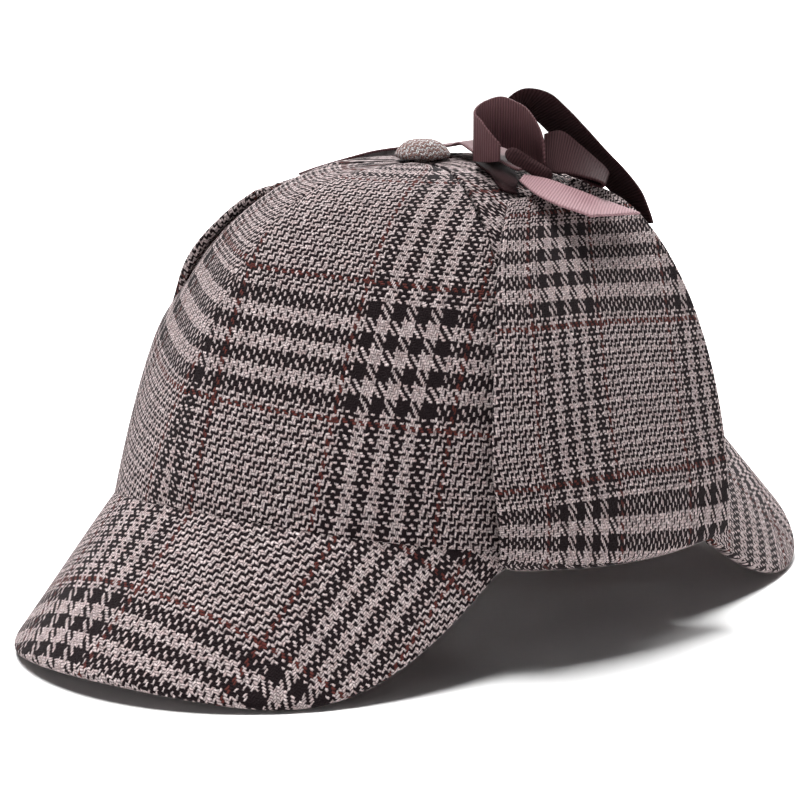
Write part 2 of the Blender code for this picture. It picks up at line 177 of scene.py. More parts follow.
class HatSizes(bpy.types.PropertyGroup):
    """Sizes of the hat: lengths in metres, and plain shares."""
    half_width: length("Half width", "Crown at the rim, centre to side", 0.0833)
    front_reach: length("Front reach", "Centre to the front of the rim", 0.1041)
    rear_reach: length("Rear reach", "Centre to the back of the rim", 0.1077)
    crown_top: length("Crown top", "Top of the cloth over the table", 0.1383)
    top_set_back: length("Top set back", "The top lies this far behind the middle", 0.0028)
    rim_side: length("Rim at the ears", "Rim height over the table", 0.0306)
    rim_front: length("Rim in front", "Rim height over the table", 0.0453)
    rim_rear: length("Rim behind", "Rim height over the table", 0.0568)
    round_out: share("Round out", "How full the dome's outline is", 0.81)
    round_up: share("Round up", "How fast the dome rises", 0.73)
    front_out: share("Front out", "Change of round out toward the front", -0.10)
    front_up: share("Front up", "Change of round up toward the front", 0.66)
    panel_flat: share("Panel flatness", "Panels are flatter between seams", 0.07)
    top_dip: length("Top dip", "The button's stitching draws the top in", 0.0018)
    pressed: length("Pressed shoulder", "The right flap presses the crown in", 0.0027)
    cloth: length("Cloth", "Crown wall", 0.0025)
    seam_gap: length("Seam gap", "Kept between neighbouring pieces", 0.00038)
    peak_thick: length("Peak thickness", "Board and cloth", 0.0030)
    flap_thick: length("Flap thickness", "Cloth and lining", 0.0030)
    ribbon_width: length("Ribbon width", "Edge to edge", 0.0160)
    ribbon_thick: length("Ribbon thickness", "Through the ribbon", 0.0008)
    button_radius: length("Button radius", "Middle to edge", 0.0086)


class HatColours(bpy.types.PropertyGroup):
    """Colours of the yarns and the ribbon."""
    dark: colour("Dark yarn", "Near-black brown", (0.0105, 0.0055, 0.0070))
    light: colour("Light yarn", "Beige with a touch of pink", (0.84, 0.68, 0.675))
    red: colour("Overcheck yarn", "Dark red", (0.13, 0.032, 0.026))
    # the ribbon's dark brown, deepened as painted shade for the pieces that lie in shade
    ribbon: colour("Ribbon", "Dark brown, on the ties, loops and long tail", (0.050, 0.024, 0.026))
    # painted light: the ribbon's brown made much brighter for the short tail's lit top
    ribbon_painted_light: colour("Ribbon face", "Brighter side, on the short tail", (0.41, 0.235, 0.256))
    floor: colour("Floor", "Pale floor", (0.95, 0.95, 0.95))
    block: IntProperty(name="Block", description="Threads in one dark or light bar", default=6)
    barred: IntProperty(name="Barred zone", description="Threads of the barred zone", default=42)
    repeat: IntProperty(name="Repeat", description="Threads in one repeat of the check", default=114)


def sizes():
    """The hat's sizes as set in the sidebar."""
    return bpy.context.scene.deerstalker_sizes


def colours():
    """The hat's colours as set in the sidebar."""
    return bpy.context.scene.deerstalker_colours


# ---- the dome ----------------------------------------------------------------------------
def swell(value, low, high):
    """A smooth step from 0 at `low` to 1 at `high`."""
    t = np.clip((value - low) / (high - low), 0.0, 1.0)
    return t * t * (3.0 - 2.0 * t)


def rim_height(angle):
    """Height of the rim over the table, round from the front."""
    s = sizes()
    c = np.cos(angle)
    return s.rim_side + (np.where(c > 0, s.rim_front, s.rim_rear) - s.rim_side) * c * c


def dome(angle, rise, out=0.0, flat=1.0):
    """Points on the crown at angles and rises in radians, `out` metres beyond the cloth."""
    s = sizes()
    angle, rise = np.broadcast_arrays(np.asarray(angle, float), np.asarray(rise, float))
    c, n = np.cos(angle), np.sin(angle)
    front = np.where(c > 0, c * c, 0.0)
    rho = np.maximum(np.cos(rise), 0.0) ** (s.round_out + s.front_out * front)
    up = np.maximum(np.sin(rise), 0.0) ** (s.round_up + s.front_up * front)
    turn = (np.degrees(angle) + 180.0) % 360.0 - 180.0
    k = np.clip(np.searchsorted(SEAMS, turn, side="right") - 1, 0, len(SEAMS) - 2)
    seams = np.array(SEAMS)
    between = np.clip((turn - seams[k]) / (seams[k + 1] - seams[k]), 0.0, 1.0)
    rho = rho * (1.0 - flat * s.panel_flat * np.sin(np.pi * between) * np.sin(2.0 * rise))
    reach = np.where(c > 0, s.front_reach, s.rear_reach)
    rim = rim_height(angle)
    top = s.crown_top + 0.7 * out - s.top_dip * swell(np.degrees(rise), 70.0, 88.0)
    return np.stack([(s.half_width + out) * n * rho,
                     -(reach + out) * c * rho + s.top_set_back * (1.0 - rho),
                     rim + (top - rim) * up], -1)


def dome_normal(angle, rise):
    """Outward direction of the round dome, the panels' flatness left out."""
    rise = np.clip(rise, 0.6 * DEG, 89.0 * DEG)
    step = 0.3 * DEG
    across = dome(angle + step, rise, flat=0.0) - dome(angle - step, rise, flat=0.0)
    upward = dome(angle, rise + step, flat=0.0) - dome(angle, rise - step, flat=0.0)
    way = np.cross(across, upward)
    return way / np.linalg.norm(way, axis=-1, keepdims=True)


def pressing(angle, rise):
    """How far the right flap presses the crown in, over that shoulder only."""
    turn, up = -np.degrees(angle), np.degrees(rise)
    return (sizes().pressed * swell(turn, 40.0, 61.0) * (1.0 - swell(turn, 108.0, 135.0))
            * swell(up, 25.0, 39.0) * (1.0 - swell(up, 60.0, 78.0)))


# ---- building meshes ---------------------------------------------------------------------
def unit(v):
    """Vectors of length one."""
    return v / np.maximum(np.linalg.norm(v, axis=-1, keepdims=True), 1e-12)


def grid_normals(points):
    """Directions square to a grid of points, rows running up and columns across."""
    up, across = np.gradient(points, axis=0), np.gradient(points, axis=1)
    return unit(np.cross(across, up))


def ruffle(points, scale, seed):
    """Smooth noise between -1 and 1 at each point, features `scale` metres across."""
    flat = points.reshape(-1, 3) / scale
    shift = Vector((seed * 7.31, seed * 3.77, seed * 5.13))
    out = [noise.noise(Vector(p) + shift) for p in flat]
    return np.array(out).reshape(points.shape[:-1])


def edge_loop(rows, cols):
    """Row and column of each point round the edge of a grid."""
    loop = [(0, c) for c in range(cols)] + [(r, cols - 1) for r in range(1, rows)]
    loop += [(rows - 1, c) for c in range(cols - 2, -1, -1)] + [(r, 0) for r in range(rows - 2, 0, -1)]
    return loop


def outward(points, loop):
    """Direction away from the grid at each edge point."""
    rows, cols = points.shape[:2]
    way = []
    for r, c in loop:
        back = np.zeros(points.shape[-1])
        if r == 0:
            back += unit(points[0, c] - points[1, c])
        if r == rows - 1:
            back += unit(points[-1, c] - points[-2, c])
        if c == 0:
            back += unit(points[r, 0] - points[r, 1])
        if c == cols - 1:
            back += unit(points[r, -1] - points[r, -2])
        way.append(back)
    return np.array(way)


def sheet_solid(points, normals, cloth_at, profile, grain=YARN):
    """A closed solid from a grid of points on its face. `profile` gives the edge's section as
    (outward, depth) from the face round to the back, and `grain` is the length of one unit of
    the weave. Returns points, faces and their weave."""
    rows, cols = points.shape[:2]
    depth = profile[-1][1]
    loop = edge_loop(rows, cols)
    rim = np.array([points[r, c] for r, c in loop])
    square = np.array([normals[r, c] for r, c in loop])
    away = outward(points, loop)
    away = unit(away - square * np.sum(away * square, -1, keepdims=True))
    rim_cloth = np.array([cloth_at[r, c] for r, c in loop])
    away_cloth = unit(outward(cloth_at, loop))
    layers, weave, run = [], [], 0.0
    last = (0.0, 0.0)
    for out, deep in profile[1:-1]:
        run += math.hypot(out - last[0], deep - last[1])
        last = (out, deep)
        layers.append(rim + away * out - square * deep)
        weave.append(rim_cloth + away_cloth * (run / grain))
    count, ring = rows * cols, len(loop)
    verts = [points.reshape(-1, 3), (points - normals * depth).reshape(-1, 3)] + layers
    where = [np.array([r * cols + c for r, c in loop])]
    where += [2 * count + k * ring + np.arange(ring) for k in range(len(layers))]
    where.append(count + where[0])
    r, c = np.meshgrid(np.arange(rows - 1), np.arange(cols - 1), indexing="ij")
    a = (r * cols + c).ravel()
    front = np.stack([a, a + 1, a + cols + 1, a + cols], -1)
    flat = cloth_at.reshape(-1, 2)
    faces, corner = [front, front[:, ::-1] + count], [flat[front], flat[front[:, ::-1]]]
    steps = [rim_cloth] + weave
    run += math.hypot(profile[-1][0] - last[0], profile[-1][1] - last[1])
    steps.append(rim_cloth + away_cloth * (run / grain))
    after = np.roll(np.arange(ring), -1)
    for k in range(len(where) - 1):
        faces.append(np.stack([where[k], where[k + 1], where[k + 1][after], where[k][after]], -1))
        corner.append(np.stack([steps[k], steps[k + 1], steps[k + 1][after], steps[k][after]], 1))
    return np.concatenate(verts), np.concatenate(faces), np.concatenate(corner)


def round_edge(thick, radius, steps=5):
    """Edge section of a sheet whose face edge is rounded and whose back edge is square."""
    turn = [math.pi / 2 * k / steps for k in range(steps + 1)]
    return [(radius * math.sin(t), radius * (1.0 - math.cos(t))) for t in turn] + [
        (radius, thick - 0.1 * MM), (0.0, thick)]


def full_round(thick, steps=8):
    """Edge section of a sheet that is rounded right round."""
    turn = [math.pi * k / steps for k in range(steps + 1)]
    return [(thick / 2 * math.sin(t), thick / 2 * (1.0 - math.cos(t))) for t in turn]


def ring_solid(rings, cloth_at):
    """A closed solid through rings of points, its two ends closed with a point in the middle."""
    rows, cols = rings.shape[:2]
    verts = np.concatenate([rings.reshape(-1, 3), rings[:1].mean(axis=1), rings[-1:].mean(axis=1)])
    cloth = np.concatenate([cloth_at.reshape(-1, 2), cloth_at[:1].mean(axis=1), cloth_at[-1:].mean(axis=1)])
    faces = []
    for c in range(cols):
        after = (c + 1) % cols
        faces += [(r * cols + c, (r + 1) * cols + c, (r + 1) * cols + after, r * cols + after)
                  for r in range(rows - 1)]
        faces.append((rows * cols, c, after))
        faces.append((rows * cols + 1, (rows - 1) * cols + after, (rows - 1) * cols + c))
    return verts, faces, [cloth[list(face)] for face in faces]


def add_piece(name, verts, faces, corner, mat, nodes):
    """One visible piece: rides on the hat and stands for its CAD nodes, which it hides."""
    mesh = bpy.data.meshes.new(name)
    mesh.from_pydata([tuple(v) for v in verts], [], [tuple(int(i) for i in f) for f in faces])
    layer = mesh.uv_layers.new(name="weave")
    layer.data.foreach_set("uv", np.concatenate([np.ravel(c) for c in corner]).astype(np.float32))
    mesh.materials.append(mat)
    mesh.polygons.foreach_set("use_smooth", [True] * len(mesh.polygons))
    mesh.update()
    item = bpy.data.objects.new(name, mesh)
    bpy.context.scene.collection.objects.link(item)
    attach(item, "root")
    if nodes:
        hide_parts(*nodes)
    return item


def threads(name, across, along):
    """Thread numbers from lengths in metres along the piece, as the cloth was laid on it."""
    turn, first, second, warp, weft = LAY[name]
    c, s = math.cos(turn * DEG), math.sin(turn * DEG)
    u = (across * c + along * s) / (warp * MM) + first
    v = (-across * s + along * c) / (weft * MM) + second
    return np.stack([u, v], -1)


# ---- materials ---------------------------------------------------------------------------
class Maker:
    """Short ways to add and join shader nodes."""

    def __init__(self, name):
        self.mat = bpy.data.materials.new(name)
        self.mat.use_nodes = True
        self.tree = self.mat.node_tree
        self.tree.nodes.clear()

    def node(self, kind, **values):
        """Add a node and set its own fields."""
        item = self.tree.nodes.new(kind)
        for key, value in values.items():
            setattr(item, key, value)
        return item

    def put(self, socket, value):
        """Join a socket to another, or give it a plain value."""
        if isinstance(value, bpy.types.NodeSocket):
            self.tree.links.new(value, socket)
        else:
            socket.default_value = value

    def sum(self, how, a, b=0.0, c=0.0):
        """One step of arithmetic."""
        item = self.node("ShaderNodeMath", operation=how)
        for socket, value in zip(item.inputs, (a, b, c)):
            self.put(socket, value)
        return item.outputs[0]

    def blend(self, amount, a, b):
        """Colour a turning into colour b."""
        item = self.node("ShaderNodeMix", data_type="RGBA")
        self.put(item.inputs[0], amount)
        self.put(item.inputs[6], a)
        self.put(item.inputs[7], b)
        return item.outputs[2]

    def noise(self, at, scale, detail=2.0, rough=0.5):
        """Smooth noise: its value, then its colour."""
        item = self.node("ShaderNodeTexNoise")
        self.put(item.inputs["Vector"], at)
        item.inputs["Scale"].default_value = scale
        item.inputs["Detail"].default_value = detail
        item.inputs["Roughness"].default_value = rough
        return item.outputs

    def split(self, at):
        """The three numbers of a vector."""
        item = self.node("ShaderNodeSeparateXYZ")
        self.put(item.inputs[0], at)
        return item.outputs

    def join(self, x, y, z=0.0):
        """A vector from three numbers."""
        item = self.node("ShaderNodeCombineXYZ")
        for socket, value in zip(item.inputs, (x, y, z)):
            self.put(socket, value)
        return item.outputs[0]

    def finish(self, shade, **values):
        """The Principled shader, its inputs given as sockets or plain numbers."""
        bsdf = self.node("ShaderNodeBsdfPrincipled")
        for key, value in values.items():
            self.put(bsdf.inputs[key.replace("_", " ")], value)
        self.put(bsdf.inputs["Base Color"], shade)
        out = self.node("ShaderNodeOutputMaterial")
        self.tree.links.new(bsdf.outputs[0], out.inputs[0])
        return self.mat


def rgba(value):
    """A colour with full alpha."""
    return (*value, 1.0)


# threads wander: size of the wander per thread, and how many threads it moves them by
SLOW_WANDER = (0.16, 1.4)
FAST_WANDER = (0.75, 1.25)
FIBRE_SCALE = 2600.0   # single fibres and loose fuzz, in features per metre
FUZZ_SCALE = 700.0
BATCH_SCALE = 3.7      # one thread differs from the next
FLECK = (0.22, 0.19, 0.19)
# painted shade between the threads
SHADE_BETWEEN_THREADS = (0.013, 0.008, 0.009)


def tweed(name, light_lift=1.0, warp_reds=RED_PAIRS, dark_yarn=None):
    """Two-and-two twill in a Glen check, thread by thread: bars of six, then single dark
    threads two or three apart, with pairs of red threads beside the bars."""
    look = colours()
    m = Maker(name)
    weave = m.node("ShaderNodeUVMap", uv_map="weave").outputs[0]
    place = m.node("ShaderNodeTexCoord").outputs["Object"]
    wander = m.split(m.noise(weave, SLOW_WANDER[0], 2.0)[1])
    shake = m.split(m.noise(weave, FAST_WANDER[0], 1.0)[1])
    u, v, _ = m.split(weave)

    def stray(base, slow, fast):
        """Thread numbers, moved a little as real threads wander."""
        far = m.sum("MULTIPLY", m.sum("SUBTRACT", slow, 0.5), SLOW_WANDER[1])
        near = m.sum("MULTIPLY", m.sum("SUBTRACT", fast, 0.5), FAST_WANDER[1])
        return m.sum("ADD", m.sum("ADD", base, far), near)

    u, v = stray(u, wander[0], shake[0]), stray(v, wander[1], shake[1])
    warp, weft = m.sum("FLOOR", u), m.sum("FLOOR", v)
    in_warp, in_weft = m.sum("FRACT", u), m.sum("FRACT", v)

    def yarn(number, red_pairs):
        """Darkness and redness of the thread with this number."""
        place_in = m.sum("FLOORED_MODULO", number, float(look.repeat))
        barred = m.sum("LESS_THAN", place_in, look.barred - 0.5)
        in_bar = m.sum("FLOORED_MODULO", place_in, 2.0 * look.block)
        bar = m.sum("LESS_THAN", in_bar, look.block - 0.5)
        count = m.sum("SUBTRACT", look.barred + FIRST_DARK, place_in)
        in_single = m.sum("FRACT", m.sum("DIVIDE", count, DARK_EVERY))
        single = m.sum("LESS_THAN", in_single, 1.0 / DARK_EVERY)
        dark = m.sum("ADD", m.sum("MULTIPLY", barred, bar),
                     m.sum("MULTIPLY", m.sum("SUBTRACT", 1.0, barred), single))
        red = 0.0
        for first in red_pairs:
            red = m.sum("ADD", m.sum("COMPARE", place_in, first + 0.5, 0.7), red)
        return dark, red

    warp_dark, warp_red = yarn(warp, warp_reds)
    weft_dark, weft_red = yarn(weft, RED_PAIRS)
    step = m.sum("FLOORED_MODULO", m.sum("ADD", warp, weft), 4.0)
    over = m.sum("LESS_THAN", step, 1.5)

    def pick(a, b):
        """Value a where the warp lies on top, and b where the weft does."""
        under = m.sum("MULTIPLY", m.sum("SUBTRACT", 1.0, over), b)
        return m.sum("ADD", m.sum("MULTIPLY", over, a), under)

    dark, red = pick(warp_dark, weft_dark), pick(warp_red, weft_red)
    across = pick(in_warp, in_weft)
    along = pick(m.sum("ADD", step, in_weft), m.sum("ADD", m.sum("SUBTRACT", step, 2.0), in_warp))
    hump = m.sum("SINE", m.sum("MULTIPLY", along, math.pi / 2))
    off_middle = m.sum("ABSOLUTE", m.sum("MULTIPLY_ADD", across, 2.0, -1.0))
    barrel = m.sum("SUBTRACT", 1.0, m.sum("POWER", off_middle, 1.7))
    body = m.sum("MULTIPLY", barrel, m.sum("MULTIPLY_ADD", hump, 0.60, 0.40))
    fibre = m.noise(place, FIBRE_SCALE, 3.0, 0.65)[0]
    fuzz = m.noise(place, FUZZ_SCALE, 4.0, 0.7)[0]
    batch_at = m.join(pick(warp, weft), m.sum("MULTIPLY", pick(weft, warp), 0.04))
    batch = m.noise(batch_at, BATCH_SCALE, 1.0)[0]
    light = m.blend(m.sum("MULTIPLY_ADD", fuzz, 3.0, -1.0),
                    rgba([c * 0.42 * light_lift for c in look.light]),
                    rgba([min(c * 1.25 * light_lift, 1.0) for c in look.light]))
    light = m.blend(m.sum("MULTIPLY", m.sum("SUBTRACT", batch, 0.42), 1.6), light,
                    rgba((look.light[0] * 0.80, look.light[1] * 0.68, look.light[2] * 0.66)))
    shade = m.blend(dark, light, rgba(dark_yarn or look.dark))
    shade = m.blend(red, shade, rgba(look.red))
    shade = m.blend(m.sum("MULTIPLY", m.sum("GREATER_THAN", fibre, 0.66), 0.35), shade, rgba(FLECK))
    # painted shade: the colour darkens toward SHADE_BETWEEN_THREADS at each thread's edges and float ends,
    # and between threads
    gap = m.sum("MULTIPLY_ADD", m.sum("POWER", m.sum("MAXIMUM", body, 0.0), 0.8), 0.92, 0.08)
    shade = m.blend(gap, rgba(SHADE_BETWEEN_THREADS), shade)
    height = m.sum("ADD", body, m.sum("MULTIPLY", fibre, 0.5))
    bump = m.node("ShaderNodeBump")
    bump.inputs["Strength"].default_value = 0.9
    bump.inputs["Distance"].default_value = 0.00032
    m.put(bump.inputs["Height"], height)
    return m.finish(shade, Roughness=0.92, Normal=bump.outputs[0], Sheen_Weight=0.03,
                    Sheen_Roughness=0.45, Specular_IOR_Level=0.1)


RIB_RUN = 0.86     # mm from one rib of the ribbon to the next
CROSS_RUN = 0.33   # mm from one thread across the ribs to the next


def grosgrain(name, tone, shine, groove_shade):
    """Ribbed ribbon, with painted shade between the ribs, `groove_shade` times as bright there. Its map
    holds millimetres.
    """
    m = Maker(name)
    weave = m.node("ShaderNodeUVMap", uv_map="weave").outputs[0]
    u, v, _ = m.split(weave)
    sway = m.sum("MULTIPLY", m.sum("SUBTRACT", m.noise(weave, 0.5, 1.0)[0], 0.5), 0.25)
    rib = m.sum("SINE", m.sum("MULTIPLY", m.sum("ADD", v, sway), 2 * math.pi / RIB_RUN))
    rib = m.sum("MULTIPLY_ADD", rib, 0.5, 0.5)
    cross = m.sum("MULTIPLY_ADD", m.sum("SINE", m.sum("MULTIPLY", u, 2 * math.pi / CROSS_RUN)), 0.5, 0.5)
    fleck = m.noise(weave, 5.0, 2.0)[0]
    base = m.blend(m.sum("MULTIPLY", fleck, 0.8), rgba([c * 0.75 for c in tone]),
                   rgba([c * 1.35 for c in tone]))
    # painted shade: the colour darkens toward tone times groove_shade between the ribs
    shade = m.blend(m.sum("MULTIPLY_ADD", rib, 0.75, 0.25), rgba([c * groove_shade for c in tone]), base)
    bump = m.node("ShaderNodeBump")
    bump.inputs["Strength"].default_value = 0.8
    bump.inputs["Distance"].default_value = 0.00018
    m.put(bump.inputs["Height"], m.sum("ADD", rib, m.sum("MULTIPLY", cross, 0.25)))
    return m.finish(shade, Roughness=0.62, Normal=bump.outputs[0], Specular_IOR_Level=shine)


# ---- the crown ---------------------------------------------------------------------------
def crown_rises(angle, spacing=1.9 * MM):
    """Rises of the rows of a panel: fine at the rim, then evenly spaced up its middle."""
    fine = np.linspace(0.0, 1.0, 1500) ** 1.6 * 88.6 * DEG
    path = dome(angle, fine)
    run = np.concatenate([[0.0], np.cumsum(np.linalg.norm(np.diff(path, axis=0), axis=1))])
    first = np.array([0.0, 0.5, 1.0, 1.6, 2.4, 3.4, 4.8]) * MM
    rest = np.arange(first[-1] + spacing, run[-1], spacing)
    return np.interp(np.concatenate([first, rest, [run[-1]]]), run, fine)


def crown_cloth(name, middle, angle, points):
    """Thread numbers on a panel: level lines across it, square to its middle line."""
    s = sizes()
    fine = np.linspace(0.0, 1.0, 1500) ** 1.6 * 89.5 * DEG
    path = dome(middle, fine, flat=0.0)
    run = np.concatenate([[0.0], np.cumsum(np.linalg.norm(np.diff(path, axis=0), axis=1))])
    height = points[..., 2]
    rim = rim_height(middle)
    along = np.interp(height, path[:, 2], run) + np.minimum(height - rim, 0.0)
    cut = np.linspace(0.0, 1.0, 25)
    turn = middle + (angle[..., None] - middle) * cut
    c = np.cos(turn)
    front = np.where(c > 0, c * c, 0.0)
    low = rim_height(turn)
    level = np.clip((height[..., None] - low) / (s.crown_top - low), 0.0, 0.9999)
    steep = np.arcsin(level ** (1.0 / (s.round_up + s.front_up * front)))
    slices = dome(turn, steep, flat=0.0)[..., :2]
    across = np.sum(np.linalg.norm(np.diff(slices, axis=-2), axis=-1), axis=-1)
    return threads(name, across * np.sign(angle - middle), along)


SEAM_SHOWS = 0.12 * MM   # the sewn seam closes the gap that the solids keep
SEAM_ROLL = 0.7 * MM     # radius of the cloth's turn into a seam
SEAM_DRAW = 0.55 * MM    # the stitching draws the cloth in by this much, over this width
SEAM_DRAW_WIDTH = 3.2 * MM


def build_panel(number, mat):
    """One wedge of the crown, rounded in to its seams and its rim."""
    s = sizes()
    left, right = SEAMS[number - 1] * DEG, SEAMS[number] * DEG
    middle = (left + right) / 2
    name = "crown_panel_%d" % number
    rises = crown_rises(middle)
    spread = 0.5 - 0.5 * np.cos(np.pi * np.linspace(0.0, 1.0, 61))
    spread = 0.35 * spread + 0.65 * np.linspace(0.0, 1.0, 61)
    angle, rise = np.meshgrid(left + (right - left) * spread, rises)
    base = dome(angle, rise)
    radius = np.hypot(base[..., 0], base[..., 1] - s.top_set_back)
    inset = np.minimum((0.5 * SEAM_SHOWS + SEAM_ROLL) / radius, 0.3 * (right - left))
    angle = np.clip(angle, left + inset, right - inset)
    way = dome_normal(angle, rise)
    points = dome(angle, rise)
    from_seam = np.minimum(angle - left, right - angle) * radius
    sink = pressing(angle, rise) + SEAM_DRAW * np.exp(-(from_seam / SEAM_DRAW_WIDTH) ** 2)
    sink -= 0.35 * MM * ruffle(points, 42 * MM, number)
    sink -= 0.22 * MM * ruffle(points, 9 * MM, number + 20) * np.exp(-from_seam / (7.0 * MM))
    points = points - way * np.minimum(sink, s.cloth)[..., None]
    cloth_at = crown_cloth(name, middle, angle, points)
    verts, faces, corner = sheet_solid(points, way, cloth_at, round_edge(s.cloth - 0.2 * MM, SEAM_ROLL))
    return add_piece(name + "_cloth", verts - MIDDLE, faces, corner, mat, [name])


# ---- the peaks ---------------------------------------------------------------------------
PEAK_EASE = (0.048, 0.21)   # the warp lies closer beyond this far round (m), by this share


def build_peak(name, mat):
    """A stiff peak: straight lines run out and down from the rim, edge turned."""
    s = sizes()
    size = PEAKS[name]
    back = name == "rear_peak"
    side = 1.0 if back else -1.0
    slope = size["slope"] * DEG
    around = np.linspace(-1.0, 1.0, 141)
    around = np.sign(around) * (1.0 - (1.0 - np.abs(around)) ** 1.25) * 0.985
    out = np.linspace(0.0, 1.0, 33)
    turn = size["half"] * DEG * around
    angle = math.pi - turn if back else turn
    root = dome(angle, 0.0 * turn)
    run = np.stack([size["flare"] * np.sin(turn), np.full_like(turn, side * math.cos(slope)),
                    np.full_like(turn, -math.sin(slope))], -1)
    run = unit(run)
    reach = size["length"] * (1.0 - np.abs(around) ** size["full"]) ** (1.0 / size["corner"])
    reach = np.maximum(reach - s.peak_thick / 2, 0.4 * MM)
    start = root + run * 0.1 * MM - np.array((0.0, 0.0, s.seam_gap + 0.1 * MM))
    points = start[None] + run[None] * (reach[None] * out[:, None])[..., None]
    if not back:
        points = points[:, ::-1]
    normals = grid_normals(points)
    if normals[..., 2].mean() < 0:
        normals = -normals
    middle = len(turn) // 2
    way = np.array((0.0, side * math.cos(slope), -math.sin(slope)))
    along = points @ way
    along = along - along[0, middle]
    flat = points - (points @ way)[..., None] * way
    across = np.linalg.norm(np.diff(flat, axis=1), axis=2)
    across = np.concatenate([np.zeros((len(out), 1)), np.cumsum(across, axis=1)], axis=1)
    across = across - across[:, middle:middle + 1]
    across = across + PEAK_EASE[1] * np.minimum(across + PEAK_EASE[0], 0.0)
    cloth_at = threads(name, across, along)
    above = s.peak_thick if back else 0.0
    points = points + normals * (above + 0.25 * MM * ruffle(points, 30 * MM, 3))[..., None]
    verts, faces, corner = sheet_solid(points, normals, cloth_at, full_round(s.peak_thick))
    return add_piece(name + "_cloth", verts - MIDDLE, faces, corner, mat, [name])


# ---- the ear flaps -----------------------------------------------------------------------
FLAP_SHOULDER = 0.090   # the rows close up above this run (m), growing with its square (1/m)
FLAP_EASE = 6.0
FLAP_FOOT = 0.035       # above this run the warp leans forward and the rows level out
FLAP_LEAN = 0.155
FLAP_SHEAR = 2.3
FLAP_TRIM = 0.016       # share of the width that the rounded edge takes at each side
CREASE_IN = 8.0 * MM    # a pressed line runs this far inside the edges
CREASE_WIDTH = 1.3 * MM
CREASE_DEPTH = 0.5 * MM


def through(table, steps):
    """A smooth run through rows of numbers or points, `steps` to each row."""
    table = np.asarray(table, float)
    n = len(table) - 1
    t = np.linspace(0.0, n, n * steps + 1)
    k = np.minimum(t.astype(int), n - 1)
    u = (t - k).reshape((-1,) + (1,) * (table.ndim - 1))
    a, b, c, d = (table[np.clip(k + j, 0, n)] for j in (-1, 0, 1, 2))
    return 0.5 * (2 * b + (c - a) * u + (2 * a - 5 * b + 4 * c - d) * u * u
                  + (3 * b - a - 3 * c + d) * u ** 3)


def build_flap(name, mat):
    """A lined flap: sewn under the rim, folded round at the foot and up the crown."""
    s = sizes()
    side, foot_front, foot_rear, leg = FLAPS[name]
    half = s.flap_thick / 2
    across = np.linspace(0.0, 1.0, 73)
    w = FLAP_TRIM + (1.0 - 2.0 * FLAP_TRIM) * across
    rows = []
    for share_out, drop, spread in FOLD:
        front = foot_front + (leg[0][1] - foot_front) * spread
        rear = foot_rear + (leg[0][2] - foot_rear) * spread
        angle = (front + (rear - front) * w) * DEG
        mid = (leg[0][3] + leg[0][4] * w * w) * MM - half
        p = dome(angle, 0.0 * angle, -s.cloth / 2 + (mid + s.cloth / 2) * share_out)
        p[:, 2] = rim_height(angle) - drop
        rows.append(p)
    for rise, front, rear, off, more in leg:
        angle = (front + (rear - front) * w) * DEG
        rows.append(dome(angle, np.full_like(angle, rise * DEG), (off + more * w * w) * MM - half))
    points = through(np.array(rows), 5)
    points = points[:-1]
    normals = grid_normals(points)
    points = points + normals * half
    points[..., 0] *= side
    if side < 0:
        points, normals = points[:, ::-1], normals[:, ::-1] * np.array((-1.0, 1.0, 1.0))
    steps = np.linalg.norm(np.diff(points, axis=1), axis=2)
    u = np.concatenate([np.zeros((len(points), 1)), np.cumsum(steps, axis=1)], axis=1)
    if side < 0:
        u = u - u[:, -1:]
    rise = np.linalg.norm(np.diff(points, axis=0), axis=2).mean(axis=1)
    v = np.concatenate([[0.0], np.cumsum(rise)])[:, None] + 0.0 * u
    edge = np.abs(u)
    crease = np.exp(-((edge - CREASE_IN) / CREASE_WIDTH) ** 2) * swell(v, 0.015, 0.03)
    lift = (-CREASE_DEPTH * crease + 0.4 * MM * ruffle(points, 30 * MM, 5)
            + 0.2 * MM * ruffle(points, 9 * MM, 6) * np.exp(-edge / (9 * MM)))
    points = points + normals * lift[..., None]
    over, up = np.maximum(v - FLAP_SHOULDER, 0.0), np.maximum(v - FLAP_FOOT, 0.0)
    cloth_at = threads(name, u + FLAP_LEAN * up, v + FLAP_EASE * over * over + FLAP_SHEAR * u * up)
    verts, faces, corner = sheet_solid(points, normals, cloth_at, full_round(s.flap_thick))
    return add_piece(name + "_cloth", verts - MIDDLE, faces, corner, mat, [name])


# ---- the button --------------------------------------------------------------------------
BUTTON_DARK = (0.38, 0.23, 0.20)   # the button's dark yarn, much lighter than elsewhere on the hat
BUTTON_LIFT = 1.35                 # its light yarn is this many times brighter
# section from the middle over the edge to the stem: share of the radius, height (mm)
BUTTON_PROFILE = (
    (0.00, 5.2), (0.12, 5.18), (0.25, 5.1), (0.40, 4.9), (0.55, 4.5), (0.70, 3.8), (0.83, 2.8),
    (0.93, 1.7), (0.99, 0.8), (1.0, 0.2), (0.97, -0.3), (0.86, -0.7), (0.6, -0.8), (0.3, -0.8),
    (0.3, -3.6))
BUTTON_PLEATS = 9


